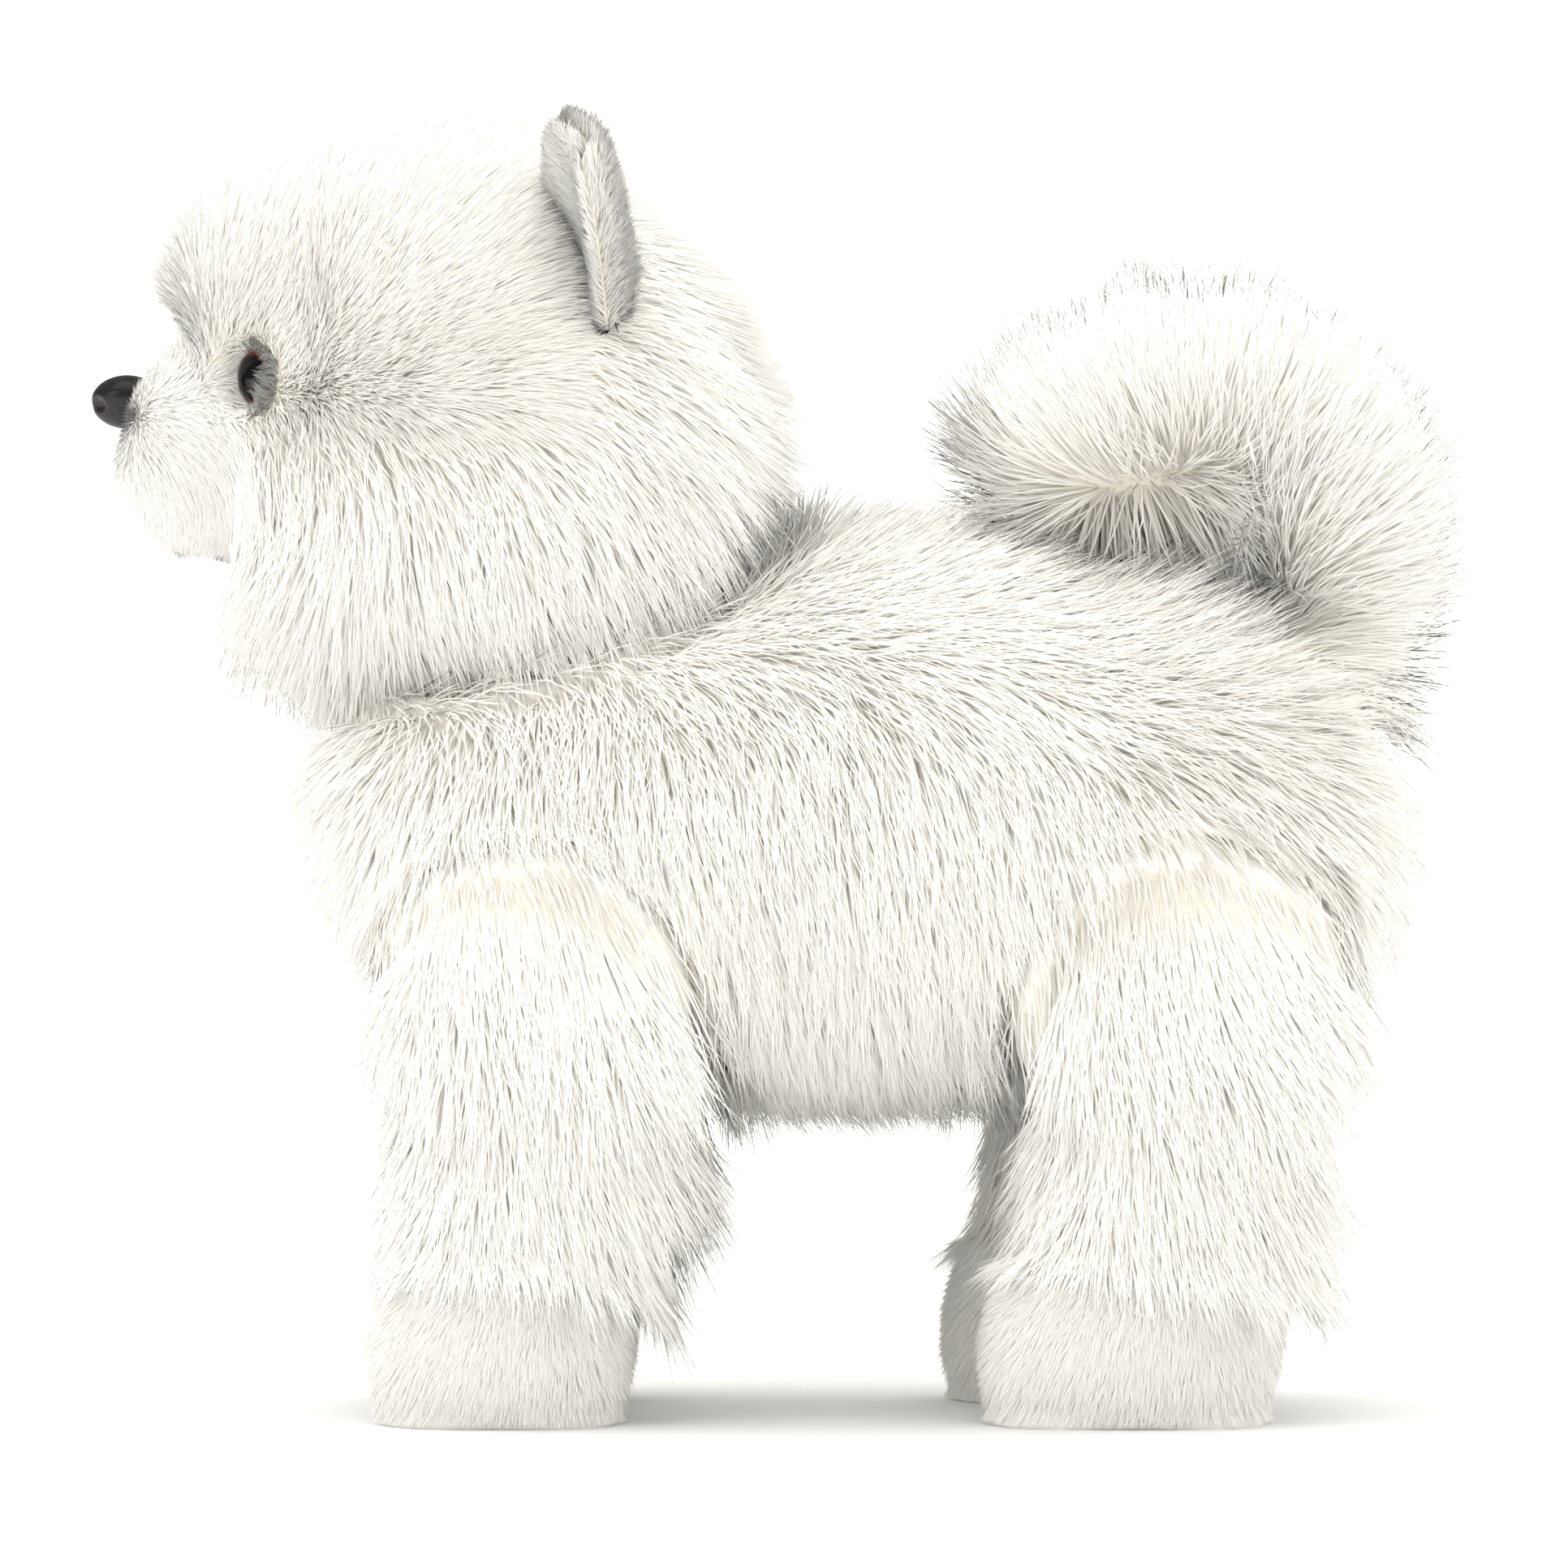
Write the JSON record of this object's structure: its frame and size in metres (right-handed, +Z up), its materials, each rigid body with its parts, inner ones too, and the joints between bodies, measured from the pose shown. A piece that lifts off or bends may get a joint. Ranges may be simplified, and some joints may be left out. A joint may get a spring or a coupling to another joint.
{
  "type": "plush dog",
  "caption": "Standing fluffy white plush dog with a curled tail, upright ears, safety eyes and a moulded nose; its head, ears, tail and legs bend and spring back.",
  "frame": {"origin": "on the floor under the middle of the dog's bounding box", "axes": "+X towards the nose, +Y towards the dog's left side, +Z up"},
  "size_m": [0.331, 0.1528, 0.324],
  "materials": {
    "long_pile": "matte",
    "short_pile": "matte",
    "sole_cloth": "matte",
    "stuffing": "matte",
    "black_plastic": "gloss",
    "iris_plastic": "gloss",
    "clear_plastic": "gloss",
    "washer_plastic": "matte"
  },
  "bodies": {
    "torso": {"torso_side_left": "long_pile", "torso_side_right": "long_pile", "belly_panel": "long_pile", "torso_stuffing": "stuffing"},
    "neck": {"neck_stuffing": "stuffing"},
    "head": {"head_side_left": "long_pile", "head_side_right": "long_pile", "head_crown": "long_pile", "head_stuffing": "stuffing", "muzzle_left": "short_pile", "muzzle_right": "short_pile", "chin": "short_pile", "nose": "black_plastic", "nose_washer": "washer_plastic", "eye_lens_left": "clear_plastic", "eye_lens_right": "clear_plastic", "eye_base_left": "iris_plastic", "eye_base_right": "iris_plastic", "eye_washer_left": "washer_plastic", "eye_washer_right": "washer_plastic"},
    "ear_left": {"ear_back_left": "long_pile", "ear_lining_left": "short_pile"},
    "ear_right": {"ear_back_right": "long_pile", "ear_lining_right": "short_pile"},
    "tail": {"tail_side_left": "long_pile", "tail_side_right": "long_pile", "tail_stuffing": "stuffing"},
    "leg_front_left": {"front_left_leg_outer": "long_pile", "front_left_leg_inner": "long_pile", "front_left_leg_stuffing": "stuffing", "front_left_paw": "short_pile", "front_left_sole": "sole_cloth"},
    "leg_front_right": {"front_right_leg_outer": "long_pile", "front_right_leg_inner": "long_pile", "front_right_leg_stuffing": "stuffing", "front_right_paw": "short_pile", "front_right_sole": "sole_cloth"},
    "leg_hind_left": {"hind_left_leg_outer": "long_pile", "hind_left_leg_inner": "long_pile", "hind_left_leg_stuffing": "stuffing", "hind_left_paw": "short_pile", "hind_left_sole": "sole_cloth"},
    "leg_hind_right": {"hind_right_leg_outer": "long_pile", "hind_right_leg_inner": "long_pile", "hind_right_leg_stuffing": "stuffing", "hind_right_paw": "short_pile", "hind_right_sole": "sole_cloth"}
  },
  "joints": [
    {"name": "head_turn", "type": "hinge", "parent": "torso", "child": "neck", "pos_m": [0.067, 0, 0.258], "axis": [0, 0, 1], "range_deg": [-15, 15], "stiffness_Nm_per_rad": 1},
    {"name": "head_nod", "type": "hinge", "parent": "neck", "child": "head", "pos_m": [0.067, 0, 0.258], "axis": [0, 1, 0], "range_deg": [-10, 10], "stiffness_Nm_per_rad": 1.5},
    {"name": "ear_left_fold", "type": "hinge", "parent": "head", "child": "ear_left", "pos_m": [0.042, 0.045, 0.287], "axis": [-0.2988, 0.6409, -0.7071], "range_deg": [-18, 12], "stiffness_Nm_per_rad": 0.02},
    {"name": "ear_right_fold", "type": "hinge", "parent": "head", "child": "ear_right", "pos_m": [0.042, -0.045, 0.287], "axis": [0.2988, 0.6409, 0.7071], "range_deg": [-18, 12], "stiffness_Nm_per_rad": 0.02},
    {"name": "tail_wag", "type": "hinge", "parent": "torso", "child": "tail", "pos_m": [-0.135, 0, 0.188], "axis": [0, 0, 1], "range_deg": [-15, 15], "stiffness_Nm_per_rad": 0.3},
    {"name": "front_left_leg_swing", "type": "hinge", "parent": "torso", "child": "leg_front_left", "pos_m": [0.057, 0.038, 0.105], "axis": [0, 1, 0], "range_deg": [-10, 10], "stiffness_Nm_per_rad": 2.5},
    {"name": "front_right_leg_swing", "type": "hinge", "parent": "torso", "child": "leg_front_right", "pos_m": [0.057, -0.038, 0.105], "axis": [0, 1, 0], "range_deg": [-10, 10], "stiffness_Nm_per_rad": 2.5},
    {"name": "hind_left_leg_swing", "type": "hinge", "parent": "torso", "child": "leg_hind_left", "pos_m": [-0.102, 0.038, 0.105], "axis": [0, 1, 0], "range_deg": [-10, 10], "stiffness_Nm_per_rad": 2.5},
    {"name": "hind_right_leg_swing", "type": "hinge", "parent": "torso", "child": "leg_hind_right", "pos_m": [-0.094, -0.038, 0.105], "axis": [0, 1, 0], "range_deg": [-10, 10], "stiffness_Nm_per_rad": 2.5}
  ]
}
